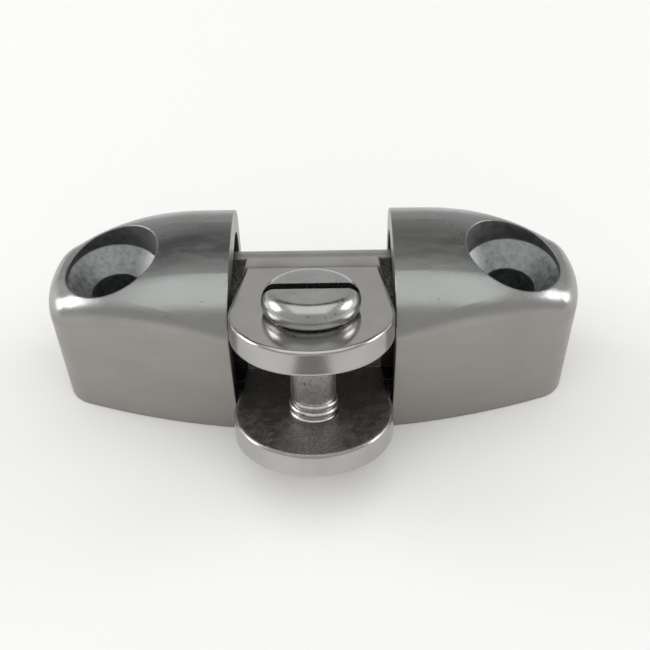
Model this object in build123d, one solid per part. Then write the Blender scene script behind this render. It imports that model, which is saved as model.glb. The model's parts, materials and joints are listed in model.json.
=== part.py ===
"""Swivel fork deck mount in polished stainless steel, for the end of a frame tube.

Axes: +X along the boat-shaped base, +Z up from the deck, the fork leans out towards -Y.
Origin: midway between the two screw holes, on the underside of the base. Millimetres.
"""
from build123d import *
from math import asin, atan2, cos, hypot, pi, radians, sin, sqrt, tan
import os

os.makedirs("parts", exist_ok=True)

# --- base casting -----------------------------------------------------------------
BASE_LENGTH = 67.3          # tip to tip
BASE_WIDTH = 23.24          # across the middle
END_RADIUS = 13.0           # blunt arc of each end, seen from above
END_HALF_WIDTH = 5.53       # where the side arcs would pass the tips; sets how boat-shaped it is
CORNER_RADIUS = 4.0         # round between each side and each end
BASE_HEIGHT = 22.4          # crown above the deck
CROWN_RADIUS = 40.0         # arc of the crown, across the base
SHOULDER_RADIUS = 8.0       # round on both sides of the crown
CROWN_FALL_LENGTH = 19.65   # how far in from each tip the crown starts to fall
FALL_RADIUS = 35.0          # arc of the crown's fall to each nose
RIM_ROUND = 3.4             # round where the crown meets the wall
GAP = 20.0                  # between the two end blocks, where the fork swings

# --- deck screw holes ---------------------------------------------------------------
HOLE_TO_TIP = 8.65
HOLE_DIAMETER = 6.6
COUNTERBORE_DIAMETER = 12.0
CONE_TOP = 17.1             # height of the countersink's wide end
CONE_ANGLE = 90.0

# --- fork casting -------------------------------------------------------------------
HUB_DIAMETER = 17.7
HUB_LENGTH = 28.4
HUB_CHAMFER = 0.45
HUB_DECK_CLEARANCE = 0.15   # between the hub and the deck
FORK_REST_ANGLE = 19.2      # the fork's rise when its lower ear lies over the front sill
SCREW_REACH = 13.83         # hub axis to clevis screw axis
EAR_RADIUS = 9.8            # round end of each ear
EAR_ROOT_WIDTH = 16.4       # width of the ears on the hub axis
EAR_EDGE_ROUND = 0.45       # polished edges of the ears
FORK_THICKNESS = 17.0       # over both ears
SLOT_WIDTH = 10.5           # between the ears
SLOT_ROOT = 4.0             # hub axis to the closed end of the slot

# --- clevis screw -------------------------------------------------------------------
SHANK_DIAMETER = 5.5
THREAD_DIAMETER = 6.0
THREAD_PITCH = 1.0
THREAD_DEPTH = 0.45
THREAD_EXPOSED = 2.2        # thread that shows above the lower ear
HEAD_DIAMETER = 11.7
HEAD_HEIGHT = 3.2
HEAD_RIM = 2.6              # height of the rounded rim
HEAD_TOP_DIAMETER = 9.0
DRIVE_WIDTH = 1.5
DRIVE_DEPTH = 1.3
TIP_RECESS = 0.3            # screw tip inside the lower ear's outer face

# --- clearances ---------------------------------------------------------------------
HUB_CLEARANCE = 0.1         # hub to its bearing pocket, all round
HUB_END_CLEARANCE = 0.3
MOUTH_DEPTH = 2.0           # relief at the mouth of each pocket
MOUTH_RISE = 0.6            # relief above the bearing pocket's top
MOUTH_CORNER = 4.0          # round in the relief's upper corners
SILL_CLEARANCE = 0.1        # lower ear over the front sill's inner edge
THREAD_CLEARANCE = 0.05
SCREW_PASS_CLEARANCE = 0.1  # thread through the upper ear

BIG = 100.0
UPWARDS = (Align.CENTER, Align.CENTER, Align.MIN)
DOWNWARDS = (Align.CENTER, Align.CENTER, Align.MAX)

half_length = BASE_LENGTH / 2
half_width = BASE_WIDTH / 2
side_bulge = half_width - END_HALF_WIDTH
side_radius = (half_length**2 + side_bulge**2) / (2 * side_bulge)
crown_flat = half_length - CROWN_FALL_LENGTH
hole_x = half_length - HOLE_TO_TIP
hub_radius = HUB_DIAMETER / 2
hub_height = hub_radius + HUB_DECK_CLEARANCE
pocket_radius = hub_radius + HUB_CLEARANCE
pocket_half_length = HUB_LENGTH / 2 + HUB_END_CLEARANCE
rest_slope = radians(FORK_REST_ANGLE)
ear_drop = FORK_THICKNESS / 2 / cos(rest_slope) - pocket_radius * tan(rest_slope)
sill_height = hub_height - ear_drop - SILL_CLEARANCE     # the bars joining the end blocks


def base_outline():
    """Boat shape: a long arc a side, a blunt arc at each end, tangent rounds between them."""
    side_centre = Vector(0, half_width - side_radius)
    end_centre = Vector(half_length - END_RADIUS, 0)
    to_side, to_end = side_radius - CORNER_RADIUS, END_RADIUS - CORNER_RADIUS
    apart = (end_centre - side_centre).length
    ahead = (end_centre - side_centre).normalized()
    along = (to_side**2 - to_end**2 + apart**2) / (2 * apart)
    aside = sqrt(to_side**2 - along**2)
    corner_centre = side_centre + ahead * along + Vector(ahead.Y, -ahead.X) * aside

    out_of_side = (corner_centre - side_centre).normalized()
    out_of_end = (corner_centre - end_centre).normalized()
    side_touch = side_centre + out_of_side * side_radius
    end_touch = end_centre + out_of_end * END_RADIUS
    corner_middle = corner_centre + (out_of_side + out_of_end).normalized() * CORNER_RADIUS

    side = ThreePointArc((-side_touch.X, side_touch.Y), (0, half_width), side_touch)
    corner = ThreePointArc(side_touch, corner_middle, end_touch)
    end = ThreePointArc(end_touch, (half_length, 0), (end_touch.X, -end_touch.Y))
    half = [side, corner, mirror(corner, Plane.XZ), end]
    return make_face(
        half + [mirror(side, Plane.XZ), mirror(end, Plane.YZ), mirror(corner, Plane.YZ),
                mirror(mirror(corner, Plane.XZ), Plane.YZ)]
    )


def crown_section(floor):
    """Arched cross-section of the stock, above the given floor, in the YZ plane."""
    edge_height = BASE_HEIGHT - CROWN_RADIUS + sqrt(CROWN_RADIUS**2 - half_width**2)
    crown = ThreePointArc((-half_width, edge_height), (0, BASE_HEIGHT), (half_width, edge_height))
    rest = Polyline(
        (half_width, edge_height), (half_width, floor), (-half_width, floor), (-half_width, edge_height)
    )
    arch = make_face([crown, rest])
    return Plane.YZ * fillet(arch.vertices().group_by(Axis.Y)[-1], SHOULDER_RADIUS)


def domed_stock():
    """Level in the middle, falling in an arc to both ends."""
    axis_height = BASE_HEIGHT - FALL_RADIUS
    section = crown_section(max(axis_height + 0.1, -3))
    middle = extrude(Pos(-crown_flat, 0, 0) * section, 2 * crown_flat, dir=(1, 0, 0))
    turn_axis = Axis((crown_flat, 0, axis_height), (0, 1, 0))
    fall = revolve(Pos(crown_flat, 0, 0) * section, turn_axis, 75)
    core = Box(BASE_LENGTH + 2, BASE_WIDTH + 2, BASE_HEIGHT / 2, align=UPWARDS)
    return middle + fall + mirror(fall, Plane.YZ) + core


def deck_holes():
    """Counterbore, countersink and through hole at both ends."""
    cone_depth = (COUNTERBORE_DIAMETER - HOLE_DIAMETER) / 2 / tan(radians(CONE_ANGLE / 2))
    hole = Cylinder(HOLE_DIAMETER / 2, BIG)
    hole += Pos(0, 0, CONE_TOP - cone_depth) * Cone(
        HOLE_DIAMETER / 2, COUNTERBORE_DIAMETER / 2, cone_depth, align=UPWARDS
    )
    hole += Pos(0, 0, CONE_TOP) * Cylinder(COUNTERBORE_DIAMETER / 2, BIG, align=UPWARDS)
    return [Pos(x, 0, 0) * hole for x in (-hole_x, hole_x)]


def bearing_pocket():
    """Round-topped bar along X for the hub, open downwards."""
    bar = Rot(0, 90, 0) * Cylinder(pocket_radius, 2 * pocket_half_length)
    legs = Box(2 * pocket_half_length, 2 * pocket_radius, BIG, align=DOWNWARDS)
    return Pos(0, 0, hub_height) * (bar + legs)


def pocket_mouths():
    """Square-shouldered relief just inside each end block's inner face."""
    top = hub_height + pocket_radius + MOUTH_RISE
    relief = Pos(0, 0, top) * Box(GAP + 2 * MOUTH_DEPTH, 2 * pocket_radius, BIG, align=DOWNWARDS)
    return fillet(relief.edges().filter_by(Axis.X).group_by(Axis.Z)[-1], MOUTH_CORNER)


def make_base():
    body = extrude(base_outline(), BASE_HEIGHT + 5) & domed_stock()
    body -= Pos(0, 0, sill_height) * Box(GAP, BIG, BIG, align=UPWARDS)
    raised = [edge for edge in body.edges() if edge.center().Z > sill_height + 1]
    rim = [edge for edge in raised if edge.bounding_box().size.X > 0.1]
    body = fillet(rim, RIM_ROUND)
    return body - [bearing_pocket(), pocket_mouths(), *deck_holes()]


def ear_outline():
    """Round end about the screw axis, with straight sides tangent to it."""
    root = EAR_ROOT_WIDTH / 2
    distance = hypot(root, SCREW_REACH)
    bearing = atan2(root, SCREW_REACH) + pi / 2 - asin(EAR_RADIUS / distance)
    touch_x = EAR_RADIUS * sin(bearing)
    touch_y = EAR_RADIUS * cos(bearing) - SCREW_REACH
    end = ThreePointArc((touch_x, touch_y), (0, -SCREW_REACH - EAR_RADIUS), (-touch_x, touch_y))
    rest = Polyline((-touch_x, touch_y), (-root, 0), (root, 0), (touch_x, touch_y))
    return make_face([end, rest])


def place_fork(shape):
    """From the fork's own frame, hub axis on X and ears level, to its place at rest."""
    return Pos(0, 0, hub_height) * Rot(-FORK_REST_ANGLE, 0, 0) * shape


def eye_slot():
    """Clear space between the ears for the tube's eye end."""
    middle = (Align.CENTER, Align.MAX, Align.CENTER)
    return Pos(0, -SLOT_ROOT, 0) * Box(BIG, BIG, SLOT_WIDTH, align=middle)


def make_ears():
    """The two ears with their outlines rounded off."""
    ears = extrude(ear_outline(), FORK_THICKNESS / 2, both=True) - eye_slot()
    level = [edge for edge in ears.edges() if edge.bounding_box().size.Z < 0.01]
    rims = [edge for edge in level if edge.bounding_box().size.Y > 1]
    return fillet(rims, EAR_EDGE_ROUND)


def make_fork():
    hub = Rot(0, 90, 0) * Cylinder(hub_radius, HUB_LENGTH)
    hub = chamfer(hub.edges().filter_by(GeomType.CIRCLE), HUB_CHAMFER)
    upper_bore = Cylinder(THREAD_DIAMETER / 2 + SCREW_PASS_CLEARANCE, BIG, align=UPWARDS)
    lower_bore = Cylinder(THREAD_DIAMETER / 2 + THREAD_CLEARANCE, BIG, align=DOWNWARDS)
    bores = Pos(0, -SCREW_REACH, 0) * (upper_bore + lower_bore)
    return place_fork(hub + make_ears() - [eye_slot(), bores])


def screw_head():
    """Bull-nosed rim under a shallow cone with a flat top."""
    bull = HEAD_RIM / 2
    inner = HEAD_DIAMETER / 2 - bull
    section = make_face([
        Polyline((0, 0), (inner, 0)),
        ThreePointArc((inner, 0), (inner + bull, bull), (inner, HEAD_RIM)),
        Polyline((inner, HEAD_RIM), (HEAD_TOP_DIAMETER / 2, HEAD_HEIGHT), (0, HEAD_HEIGHT), (0, 0)),
    ])
    return revolve(Plane.XZ * section, Axis.Z)


def threaded_end(tip, top):
    """Thread crests as rings, one pitch apart."""
    crest = THREAD_DIAMETER / 2
    root = crest - THREAD_DEPTH
    points = [(0, top), (root, top)]
    for turn in range(int((top - tip) / THREAD_PITCH)):
        height = top - turn * THREAD_PITCH
        points += [
            (crest, height - 0.35 * THREAD_PITCH),
            (crest, height - 0.65 * THREAD_PITCH),
            (root, height - THREAD_PITCH),
        ]
    points += [(root, tip), (0, tip)]
    return revolve(Plane.XZ * make_face(Polyline(*points, close=True)), Axis.Z)


def make_clevis_screw():
    seat = FORK_THICKNESS / 2
    thread_top = THREAD_EXPOSED - SLOT_WIDTH / 2
    shank = Pos(0, 0, thread_top) * Cylinder(SHANK_DIAMETER / 2, seat - thread_top, align=UPWARDS)
    body = Pos(0, 0, seat) * screw_head() + shank + threaded_end(TIP_RECESS - seat, thread_top)
    body -= Pos(0, 0, seat + HEAD_HEIGHT) * Box(BIG, DRIVE_WIDTH, 2 * DRIVE_DEPTH)
    return place_fork(Pos(0, -SCREW_REACH, 0) * body)


export_step(make_base(), "parts/base.step")
export_step(make_fork(), "parts/swivel_fork.step")
export_step(make_clevis_screw(), "parts/clevis_screw.step")
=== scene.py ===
# %% [markdown]
# # A polished swivel fork for a deck
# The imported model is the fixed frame: three castings and turnings, in metres, already in place.
# Everything made here only gives them their finish, or stands in for one of them in finer detail.

# %% Load the frame
import bpy, bmesh, json
from math import cos, degrees, pi, radians, sin
from mathutils import Matrix, Vector


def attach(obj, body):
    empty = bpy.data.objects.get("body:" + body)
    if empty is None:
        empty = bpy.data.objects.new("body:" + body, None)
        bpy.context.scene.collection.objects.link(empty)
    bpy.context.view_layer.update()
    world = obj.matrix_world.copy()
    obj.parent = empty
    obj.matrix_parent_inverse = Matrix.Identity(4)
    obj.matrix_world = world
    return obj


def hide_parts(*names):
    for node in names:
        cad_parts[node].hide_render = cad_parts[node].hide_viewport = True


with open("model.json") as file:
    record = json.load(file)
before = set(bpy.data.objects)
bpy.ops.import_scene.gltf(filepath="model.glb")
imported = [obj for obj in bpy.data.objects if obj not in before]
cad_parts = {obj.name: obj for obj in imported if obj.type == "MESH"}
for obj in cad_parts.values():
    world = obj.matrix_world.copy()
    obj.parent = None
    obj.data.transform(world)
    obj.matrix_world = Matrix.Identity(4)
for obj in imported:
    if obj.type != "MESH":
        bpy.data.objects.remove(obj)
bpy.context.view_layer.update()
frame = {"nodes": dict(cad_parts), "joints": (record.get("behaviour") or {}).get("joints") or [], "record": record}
nodes = frame["nodes"]

# %% [markdown]
# ## Sizes that the finishes need
# The fork lies at a slope, and its screw stands square to it. The hinge line and the screw's direction
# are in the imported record, so the slope is read from there rather than typed in again.

# %% The fork's slope and the screw's line
joints = {j["name"]: j for j in frame["joints"]}
hinge_height = joints["fork_swing"]["pos_m"][2]
screw_up = Vector(joints["screw_lift"]["axis"]).normalized()
fork_out = Vector((0, -screw_up.z, screw_up.y))
screw_reach = 0.01383    # hinge line to screw
screw_foot = Vector((0, 0, hinge_height)) + fork_out * screw_reach
fork_slope = -screw_up.angle(Vector((0, 0, 1)))
hole_x = frame["record"]["mounts"][0]["dims"]["spacing_x_mm"] / 2000
print("slope in degrees:", round(degrees(fork_slope), 2), "screw at", screw_foot[:])

# %% [markdown]
# ## Camera
# A small fitting is looked at from above and in front, close, with a fairly long lens, so both screw
# holes and the space between the ears can be seen at once.

# %% Camera
def aim(pitch, yaw, roll):
    """Columns are the view's right, its up, and the way back to the eye."""
    p, y, r = radians(pitch), radians(yaw), radians(roll)
    turn = Matrix.Rotation(y, 3, "Z")
    right = turn @ Vector((1, 0, 0))
    ahead = turn @ Vector((0, cos(p), -sin(p)))
    up = turn @ Vector((0, sin(p), cos(p)))
    rolled = cos(r) * right + sin(r) * up
    upright = -sin(r) * right + cos(r) * up
    return Matrix((rolled, upright, -ahead)).transposed()

camera_place = (0.0026, -0.0956, 0.1139)
camera_data = bpy.data.cameras.new("camera")
camera_data.lens = 59.62
camera_data.sensor_width = 36
camera_data.clip_start = 0.005
camera = bpy.data.objects.new("camera", camera_data)
bpy.context.scene.collection.objects.link(camera)
camera.matrix_world = Matrix.Translation(camera_place) @ aim(48.05, 0.7, -1.32).to_4x4()
bpy.context.scene.camera = camera
print("camera at", camera_place)

# %% [markdown]
# ## Light for polished steel
# Polished steel has almost no colour of its own: it shows the room. A few soft lights, a pale floor and
# backdrop and two grey cards give it something to show. The darker card leans over the backdrop, where the
# crown looks, and the other lies in front, where the fork's round ends look; that one is a painted shadow,
# a grey sheet standing in for shade on the floor in front.

# %% Room helpers
def flat_card(name, centre, size, normal, colour, glow=0.0):
    """A plain card, part of the room and not of the object."""
    mesh = bpy.data.meshes.new(name)
    w, h = size[0] / 2, size[1] / 2
    mesh.from_pydata([(-w, -h, 0), (w, -h, 0), (w, h, 0), (-w, h, 0)], [], [(0, 1, 2, 3)])
    mesh.transform(Matrix.Translation(centre) @ Vector(normal).to_track_quat("Z", "Y").to_matrix().to_4x4())
    material = bpy.data.materials.new(name)
    material.use_nodes = True
    shader = material.node_tree.nodes["Principled BSDF"]
    shader.inputs["Base Color"].default_value = (*colour, 1)
    shader.inputs["Roughness"].default_value = 0.9
    shader.inputs["Specular IOR Level"].default_value = 0.1
    shader.inputs["Emission Color"].default_value = (1, 1, 1, 1)
    shader.inputs["Emission Strength"].default_value = glow
    mesh.materials.append(material)
    card = bpy.data.objects.new(name, mesh)
    bpy.context.scene.collection.objects.link(card)

def soft_light(name, place, target, size, radiance, colour):
    """A rectangular lamp whose face has the given brightness, whatever its size."""
    data = bpy.data.lights.new(name, "AREA")
    data.shape = "RECTANGLE"
    data.size, data.size_y = size
    data.energy = radiance * pi * size[0] * size[1]
    data.color = colour
    lamp = bpy.data.objects.new(name, data)
    lamp.location = place
    lamp.rotation_euler = (Vector(target) - Vector(place)).to_track_quat("-Z", "Y").to_euler()
    bpy.context.scene.collection.objects.link(lamp)

# %% Floor, cards and lights
flat_card("floor", (0, 0.3, -0.0001), (4, 4), (0, 0, 1), (0.97, 0.97, 0.97))
flat_card("pale_backdrop", (0, 0.80, 0.27), (2.2, 0.54), (0, -1, 0), (0.55, 0.55, 0.55), 0.12)
flat_card("dark_card_behind", (0, 0.76, 0.74), (1.8, 0.36), (0, -1, -0.6), (0.12, 0.12, 0.12))
# This grey sheet in front is a painted shadow: it stands in for shade on the floor, and the ears' fronts reflect
# it.
flat_card("painted_shadow_card_in_front", (0, -0.28, 0.0005), (0.07, 0.40), (0, 0, 1), (0.34, 0.31, 0.30))
soft_light("overhead", (0, -0.05, 0.90), (0, -0.02, 0), (1.4, 1.1), 0.72, (0.96, 1.0, 0.98))
soft_light("left_window", (-0.58, 0.10, 0.20), (0, 0, 0.01), (0.34, 0.26), 5.5, (1.0, 0.985, 0.965))
soft_light("right_window", (0.58, 0.10, 0.20), (0, 0, 0.01), (0.30, 0.24), 4.8, (1.0, 0.99, 0.98))
world = bpy.data.worlds.new("room")
world.use_nodes = True
air = world.node_tree.nodes["Background"]
air.inputs["Color"].default_value = (0.68, 0.67, 0.66, 1)
air.inputs["Strength"].default_value = 0.85
bpy.context.scene.world = world
bpy.context.scene.view_settings.view_transform = "Standard"

# %% [markdown]
# ## A small kit for steel
# The same few ingredients come back in every steel: broad clouding from the polishing wheel, fine streaks
# along the way it ran, and pits where the casting was not perfectly sound. Each helper below wires one of
# them from a point on the object, so the grain stays put when a piece moves.

# %% Node helpers
class Bench:
    """A material being wired, with short names for the joints that steel needs."""

    def __init__(self, name):
        self.material = bpy.data.materials.new(name)
        self.material.use_nodes = True
        self.tree = self.material.node_tree
        self.shader = self.tree.nodes["Principled BSDF"]
        self.shader.inputs["Metallic"].default_value = 1.0
        self.shader.inputs["Specular IOR Level"].default_value = 0.5
        self.point = self.tree.nodes.new("ShaderNodeTexCoord").outputs["Object"]

    def node(self, kind, links=(), **settings):
        made = self.tree.nodes.new(kind)
        for key, value in settings.items():
            setattr(made, key, value)
        for socket, value in links:
            if isinstance(value, bpy.types.NodeSocket):
                self.tree.links.new(value, made.inputs[socket])
            else:
                made.inputs[socket].default_value = value
        return made

    def math(self, operation, *values, clamp=False):
        made = self.node("ShaderNodeMath", list(enumerate(values)), operation=operation, use_clamp=clamp)
        return made.outputs[0]

    def mix(self, amount, first, second):
        """first where amount is 0, second where it is 1; single values."""
        kept = self.math("MULTIPLY", first, self.math("SUBTRACT", 1.0, amount))
        return self.math("ADD", kept, self.math("MULTIPLY", second, amount), clamp=True)

    def distance(self, first, second):
        squares = [self.math("MULTIPLY", v, v) for v in (first, second)]
        return self.math("SQRT", self.math("ADD", *squares))

    def placed(self, centre=(0, 0, 0), turn=(0, 0, 0), scale=(1, 1, 1)):
        """The point seen from a centre, turned, then stretched."""
        moved = self.node("ShaderNodeVectorMath", [(0, self.point), (1, centre)], operation="SUBTRACT")
        return self.node(
            "ShaderNodeMapping", [("Vector", moved.outputs[0]), ("Rotation", turn), ("Scale", scale)]
        ).outputs[0]

    def axes(self, vector):
        return self.node("ShaderNodeSeparateXYZ", [(0, vector)]).outputs

    def noise(self, vector, scale, detail=3.0, roughness=0.55):
        return self.node(
            "ShaderNodeTexNoise",
            [("Vector", vector), ("Scale", scale), ("Detail", detail), ("Roughness", roughness)],
        ).outputs["Fac"]

    def fade(self, value, low, high, to_low=0.0, to_high=1.0):
        """low to high in the value becomes to_low to to_high, softly at both ends."""
        return self.node(
            "ShaderNodeMapRange",
            [(0, value), (1, low), (2, high), (3, to_low), (4, to_high)],
            interpolation_type="SMOOTHSTEP",
        ).outputs[0]

    def blend(self, amount, first, second):
        """first where amount is 0, second where it is 1; colours or sockets."""
        full = [v if isinstance(v, bpy.types.NodeSocket) else (*v, 1) for v in (first, second)]
        made = self.node("ShaderNodeMix", [(0, amount), (6, full[0]), (7, full[1])], data_type="RGBA")
        return made.outputs[2]

    def relief(self, heights, edge=0.0002):
        """Bumps over an edge-softened normal; heights are (value, strength, distance)."""
        normal = self.node("ShaderNodeBevel", [("Radius", edge)], samples=6).outputs[0]
        for height, strength, distance in heights:
            normal = self.node(
                "ShaderNodeBump",
                [("Height", height), ("Strength", strength), ("Distance", distance), ("Normal", normal)],
            ).outputs[0]
        return normal

    def finish(self, colour, roughness, normal):
        for socket, value in (("Base Color", colour), ("Roughness", roughness), ("Normal", normal)):
            self.tree.links.new(value, self.shader.inputs[socket])
        return self.material

def dress(node, material):
    """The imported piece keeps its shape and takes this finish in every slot."""
    mesh = nodes[node].data
    if not mesh.materials:
        mesh.materials.append(material)
    for index in range(len(mesh.materials)):
        mesh.materials[index] = material
    print(node, "wears", material.name)

# %% [markdown]
# ## The base casting
# The wheel ran along the base, so its streaks follow X. The walls are more satin than the crown, which was
# buffed last. Their colour is also painted a little warmer and the crown's a little greener, a painted
# reflection of the room that follows which way the surface faces. Inside the screw holes nobody polishes:
# the drill left rings, and the countersink is matt and blotchy.

# %% Base steel
drill_radius = 0.0060    # the counterbore, the widest part of each screw hole
mask_edge = 0.00003      # how softly the drilled walls begin

def base_steel():
    b = Bench("polished_base_steel")
    cloud = b.noise(b.placed(scale=(70, 110, 110)), 1.0, 4.0)
    streak = b.noise(b.placed(scale=(90, 5200, 5200)), 1.0, 2.0)
    haze = b.noise(b.placed(scale=(260, 900, 700)), 1.0, 3.0)
    pit = b.fade(b.noise(b.point, 1700.0, 1.0), 0.235, 0.20)
    facing_up = b.axes(b.node("ShaderNodeNewGeometry").outputs["Normal"])[2]
    crown = b.fade(facing_up, 0.10, 0.75)
    # Up-facing surfaces are painted a greener grey and the walls a warmer one: a painted reflection, chosen by
    # which way the surface faces.
    colour = b.blend(crown, (0.345, 0.323, 0.304), (0.335, 0.348, 0.342))
    colour = b.blend(b.fade(cloud, 0.35, 0.70, 0.0, 0.30), colour, (0.29, 0.275, 0.262))
    x, y, z = b.axes(b.point)
    beside = b.math("SUBTRACT", b.math("ABSOLUTE", x), hole_x)
    from_axis = b.distance(beside, y)
    drilled = b.fade(from_axis, drill_radius + mask_edge, drill_radius - mask_edge)
    rings = b.math("SINE", b.math("MULTIPLY", b.math("ADD", from_axis, z), 26000.0))
    blotch = b.noise(b.point, 1300.0, 5.0, 0.65)
    bore_colour = b.blend(b.fade(blotch, 0.32, 0.66), (0.25, 0.265, 0.27), (0.42, 0.435, 0.44))
    colour = b.blend(b.math("MULTIPLY", pit, 0.6), b.blend(drilled, colour, bore_colour), (0.10, 0.09, 0.085))
    satin = b.math("ADD", b.fade(crown, 0.0, 1.0, 0.34, 0.26), b.fade(cloud, 0.3, 0.7, -0.03, 0.05))
    satin = b.math("ADD", satin, b.fade(haze, 0.3, 0.7, -0.03, 0.04))
    rough_bore = b.fade(blotch, 0.35, 0.65, 0.38, 0.55)
    rough = b.mix(drilled, satin, rough_bore)
    relief = b.relief([
        (streak, 0.035, 0.00005),
        (pit, 0.25, -0.00003),
        (b.math("MULTIPLY", rings, drilled), 0.12, 0.00002),
        (b.math("MULTIPLY", blotch, drilled), 0.25, 0.00008),
        (cloud, 0.02, 0.0006),
    ], 0.00028)
    return b.finish(colour, rough, relief)

dress("base", base_steel())

# %% [markdown]
# ## The fork casting
# The ears' faces and rounded rims are mirror polished, and the hub behind them is polished less; the hub's
# colour is also painted darker, a painted shade of the gap between the blocks. The slot between the ears and
# the hub's front beside them keep the sandy skin of the casting, dull because no wheel reaches in there, and
# their colour is painted dark, a painted shade of these narrow gaps, nearly black beside the ears. The masks
# are drawn in the fork's own directions, so its slope is undone.

# %% Fork steel
ear_root = 0.0082        # half width of the ears at the hinge line
ear_flare = 0.10         # how fast the mask widens outwards, a little less than the ears do
slot_half = 0.00525      # half of the opening between them
slot_root = -0.0040      # the slot's closed end

def fork_steel():
    f = Bench("polished_fork_steel")
    local = f.placed((0, 0, hinge_height), (-fork_slope, 0, 0))
    x, y, z = f.axes(local)
    across, height = f.math("ABSOLUTE", x), f.math("ABSOLUTE", z)
    in_slot = f.math(
        "MULTIPLY",
        f.fade(height, slot_half + 0.0002, slot_half + 0.00003),
        f.fade(y, slot_root + 0.0002, slot_root - 0.0001),
    )
    on_hub = f.fade(y, -0.0005, 0.0006)
    beyond_ear = f.math("ADD", across, f.math("MULTIPLY", y, ear_flare))
    flank = f.math("MULTIPLY", f.fade(beyond_ear, ear_root, ear_root + 0.0002), f.fade(y, 0.0002, -0.0008))
    sand = f.noise(f.point, 4200.0, 3.0, 0.7)
    lumps = f.noise(f.point, 900.0, 3.0)
    cloud = f.noise(f.placed(scale=(120, 120, 120)), 1.0, 4.0)
    streak = f.noise(f.placed(scale=(110, 4800, 4800)), 1.0, 2.0)
    raw = f.math("MAXIMUM", in_slot, flank)
    shine = f.blend(f.fade(cloud, 0.35, 0.7), (0.46, 0.452, 0.446), (0.405, 0.396, 0.389))
    # The hub is painted darker: painted shade behind the ears and between the blocks, added to its rougher polish.
    shine = f.blend(on_hub, shine, (0.25, 0.245, 0.24))
    # The slot's sandy cast skin is real, and its darker colour is partly painted shade between the ears.
    skin_and_painted_shade = f.blend(f.fade(sand, 0.35, 0.68), (0.18, 0.175, 0.172), (0.36, 0.352, 0.345))
    # Beside the ears the hub is painted nearly black: painted shade in the gap between ear and block, over the
    # real rough cast surface.
    crust_and_painted_shade = f.blend(f.fade(sand, 0.42, 0.70), (0.035, 0.034, 0.033), (0.16, 0.155, 0.15))
    colour = f.blend(flank, f.blend(in_slot, shine, skin_and_painted_shade), crust_and_painted_shade)
    polish = f.math("ADD", f.fade(cloud, 0.3, 0.7, 0.12, 0.19), f.math("MULTIPLY", on_hub, 0.26))
    dull = f.fade(lumps, 0.3, 0.7, 0.42, 0.58)
    rough = f.mix(raw, polish, dull)
    relief = f.relief([
        (streak, 0.03, 0.00004),
        (cloud, 0.04, 0.0005),
        (f.math("MULTIPLY", sand, raw), 0.35, 0.00010),
        (f.math("MULTIPLY", lumps, raw), 0.2, 0.0002),
    ], 0.00015)
    return f.finish(colour, rough, relief)

dress("swivel_fork", fork_steel())

# %% [markdown]
# ## The clevis screw
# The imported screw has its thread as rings. A real thread climbs, so this screw is made again: the head and
# shank are one profile spun round the axis, as on a lathe, the driver slot is cut out of the head, and the
# thread is a small ridge that follows a helix.

# %% Screw sizes, in its own frame with the head up
seat = 0.0085                    # the upper ear's face, under the head
head_radius, head_height = 0.00585, 0.00319
head_waist = 0.00125             # height of the head's widest ring
under_radius, flat_radius = 0.0049, 0.0043
shank_radius, crest_radius, root_radius = 0.00275, 0.0030, 0.00255
thread_top, tip = -0.00305, -0.0082
tip_chamfer = 0.0004
thread_pitch = 0.001
drive_width, drive_depth = 0.0015, 0.0013
drive_ease = 0.00006             # eased edges of the driver slot
head_top = seat + head_height
screw_place = Matrix.Translation(screw_foot) @ Matrix.Rotation(fork_slope, 4, "X")
print("screw length in mm:", round((head_top - tip) * 1000, 2))

# %% Spun head and shank
def spun(name, profile, turns=128):
    """A closed solid from (radius, height) points that start and end on the axis."""
    bm = bmesh.new()
    rings = []
    for radius, height in profile:
        if radius < 1e-7:
            rings.append([bm.verts.new((0, 0, height))])
        else:
            angles = [2 * pi * i / turns for i in range(turns)]
            rings.append([bm.verts.new((radius * cos(a), radius * sin(a), height)) for a in angles])
    for low, high in zip(rings, rings[1:]):
        for i in range(turns):
            j = (i + 1) % turns
            corners = [low[i % len(low)], low[j % len(low)], high[j % len(high)], high[i % len(high)]]
            bm.faces.new(list(dict.fromkeys(corners)))
    bmesh.ops.recalc_face_normals(bm, faces=bm.faces)
    mesh = bpy.data.meshes.new(name)
    bm.to_mesh(mesh)
    bm.free()
    made = bpy.data.objects.new(name, mesh)
    bpy.context.scene.collection.objects.link(made)
    return made

def pad_edge(steps=22):
    """The cushioned rim, from the seat round to the head's flat: two quarter ellipses."""
    angles = [radians(-90 + 180 * i / steps) for i in range(1, steps)]
    points = []
    for a in angles:
        inner, rise = (under_radius, head_waist) if a < 0 else (flat_radius, head_height - head_waist)
        points.append((inner + (head_radius - inner) * cos(a), seat + head_waist + sin(a) * rise))
    return points

threaded_core = [(0, tip), (root_radius - tip_chamfer, tip), (root_radius, tip + tip_chamfer)]
shank = [(root_radius, thread_top - 0.0002), (shank_radius, thread_top + 0.0001), (shank_radius, seat)]
head_flat = [(flat_radius - 0.0001, head_top), (0.002, head_top), (0, head_top)]
profile = threaded_core + shank + pad_edge() + head_flat
screw = spun("clevis_screw_fine", profile)
print("spun faces:", len(screw.data.polygons))

# %% [markdown]
# ### The driver slot
# A saw runs straight across the head, so a long thin block is subtracted from it and the fresh edges are
# eased a little, as a quick pass over the polishing wheel does.

# %% Saw the slot
def block(name, size, centre):
    mesh = bpy.data.meshes.new(name)
    bm = bmesh.new()
    bmesh.ops.create_cube(bm, size=1, matrix=Matrix.Translation(centre) @ Matrix.Diagonal((*size, 1)))
    bm.to_mesh(mesh)
    bm.free()
    made = bpy.data.objects.new(name, mesh)
    bpy.context.scene.collection.objects.link(made)
    return made

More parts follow.
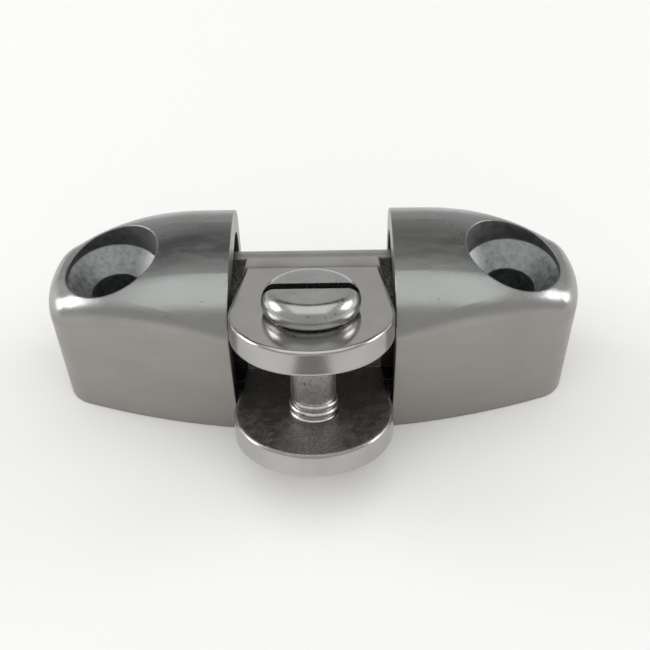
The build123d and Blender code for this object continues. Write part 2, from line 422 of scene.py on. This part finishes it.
def settle(piece):
    """Keep what the modifiers make, as a plain mesh."""
    bpy.context.view_layer.update()
    shown = piece.evaluated_get(bpy.context.evaluated_depsgraph_get())
    mesh = bpy.data.meshes.new_from_object(shown)
    piece.modifiers.clear()
    piece.data = mesh

saw = block("saw", (4 * head_radius, drive_width, 2 * drive_depth), (0, 0, head_top))
cut = screw.modifiers.new("saw", "BOOLEAN")
cut.object = saw
cut.operation = "DIFFERENCE"
cut.solver = "EXACT"
settle(screw)
bpy.data.objects.remove(saw)
ease = screw.modifiers.new("ease", "BEVEL")
ease.width = drive_ease
ease.segments = 2
ease.limit_method = "ANGLE"
ease.angle_limit = radians(50)
settle(screw)
print("faces after sawing:", len(screw.data.polygons))

# %% [markdown]
# ### The climbing thread
# Geometry Nodes suit this best: a spiral line carries a small ridge along it, with pitch, turns and radius
# as named inputs of the tree. The result is then kept as a plain mesh.

# %% Thread tree
def thread_tree(material):
    tree = bpy.data.node_groups.new("climbing_thread", "GeometryNodeTree")
    for name in ("Turns", "Radius", "Pitch", "Ridge"):
        tree.interface.new_socket(name, in_out="INPUT", socket_type="NodeSocketFloat")
    tree.interface.new_socket("Geometry", in_out="OUTPUT", socket_type="NodeSocketGeometry")
    new, link = tree.nodes.new, tree.links.new
    sizes = new("NodeGroupInput").outputs
    rise = new("ShaderNodeMath")
    rise.operation = "MULTIPLY"
    link(sizes["Turns"], rise.inputs[0])
    link(sizes["Pitch"], rise.inputs[1])
    line = new("GeometryNodeCurveSpiral")
    line.inputs["Resolution"].default_value = 72
    link(sizes["Turns"], line.inputs["Rotations"])
    link(sizes["Radius"], line.inputs["Start Radius"])
    link(sizes["Radius"], line.inputs["End Radius"])
    link(rise.outputs[0], line.inputs["Height"])
    ridge = new("GeometryNodeCurvePrimitiveCircle")
    ridge.inputs["Resolution"].default_value = 10
    link(sizes["Ridge"], ridge.inputs["Radius"])
    sweep = new("GeometryNodeCurveToMesh")
    sweep.inputs["Fill Caps"].default_value = True
    link(line.outputs["Curve"], sweep.inputs["Curve"])
    link(ridge.outputs["Curve"], sweep.inputs["Profile Curve"])
    real = new("GeometryNodeRealizeInstances")
    coat = new("GeometryNodeSetMaterial")
    coat.inputs["Material"].default_value = material
    link(sweep.outputs["Mesh"], real.inputs["Geometry"])
    link(real.outputs["Geometry"], coat.inputs["Geometry"])
    link(coat.outputs["Geometry"], new("NodeGroupOutput").inputs["Geometry"])
    return tree

# %% [markdown]
# ### Turned steel
# The head is polished, with very fine rings left by the lathe, and the inside of its driver slot is painted dark,
# a painted shade in the slot. The shank and the thread are plainer and a little grainy, and painted lighter than
# the head, a painted reflection of the bright room at their sides.

# %% Screw steel
def screw_steel():
    s = Bench("turned_screw_steel")
    local = s.placed(tuple(screw_foot), (-fork_slope, 0, 0))
    x, y, z = s.axes(local)
    on_head = s.fade(z, seat - 0.0001, seat + 0.0002)
    turned = s.node("ShaderNodeCombineXYZ", [(0, s.distance(x, y)), (1, z), (2, 0.0)]).outputs[0]
    rings = s.noise(turned, 9000.0, 2.0)
    grain = s.noise(s.point, 2400.0, 4.0, 0.65)
    cloud = s.noise(s.point, 260.0, 3.0)
    head = s.blend(s.fade(cloud, 0.35, 0.7), (0.44, 0.44, 0.435), (0.38, 0.378, 0.372))
    # The shank and thread are painted lighter than steel is: a painted reflection of the bright room at their
    # sides.
    shank = s.blend(s.fade(grain, 0.30, 0.62), (0.56, 0.53, 0.515), (0.76, 0.73, 0.71))
    speck = s.fade(s.noise(s.point, 1500.0, 1.0), 0.27, 0.22)
    colour = s.blend(s.math("MULTIPLY", speck, 0.7), s.blend(on_head, shank, head), (0.06, 0.05, 0.05))
    # The inside of the driver slot is painted dark: painted shade in the slot.
    painted_slot_shade = s.math(
        "MULTIPLY",
        s.fade(s.math("ABSOLUTE", y), drive_width / 2 + 0.00007, drive_width / 2 - 0.00003),
        s.fade(z, 0.0112, 0.0108),
    )
    colour = s.blend(s.math("MULTIPLY", painted_slot_shade, on_head), colour, (0.09, 0.088, 0.085))
    rough = s.math("ADD", s.fade(on_head, 0.0, 1.0, 0.32, 0.22), s.fade(grain, 0.3, 0.7, -0.03, 0.06))
    relief = s.relief([(rings, 0.05, 0.00003), (grain, 0.10, 0.00003)], 0.00008)
    return s.finish(colour, rough, relief)

turned_steel = screw_steel()
screw.data.materials.clear()
screw.data.materials.append(turned_steel)

# %% Cut the thread
thread = bpy.data.objects.new("clevis_screw_thread", bpy.data.meshes.new("clevis_screw_thread"))
bpy.context.scene.collection.objects.link(thread)
climb = thread.modifiers.new("thread", "NODES")
climb.node_group = thread_tree(turned_steel)
inputs = {i.name: i.identifier for i in climb.node_group.interface.items_tree if i.in_out == "INPUT"}
ridge_size = 0.00042
thread_start = tip + 0.0005
turns = (thread_top - 0.0003 - thread_start) / thread_pitch
climb[inputs["Turns"]] = turns
climb[inputs["Radius"]] = crest_radius - ridge_size
climb[inputs["Pitch"]] = thread_pitch
climb[inputs["Ridge"]] = ridge_size
settle(thread)
thread.data.transform(Matrix.Translation((0, 0, thread_start)))
print("thread faces:", len(thread.data.polygons), "turns:", round(turns, 2))

# %% Put the screw in its place
for piece in (screw, thread):
    piece.data.transform(screw_place)
    piece.data.shade_smooth()
    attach(piece, "screw")
screw.data.set_sharp_from_angle(angle=radians(38))
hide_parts("clevis_screw")
print("fine screw faces:", len(screw.data.polygons), "thread faces:", len(thread.data.polygons))
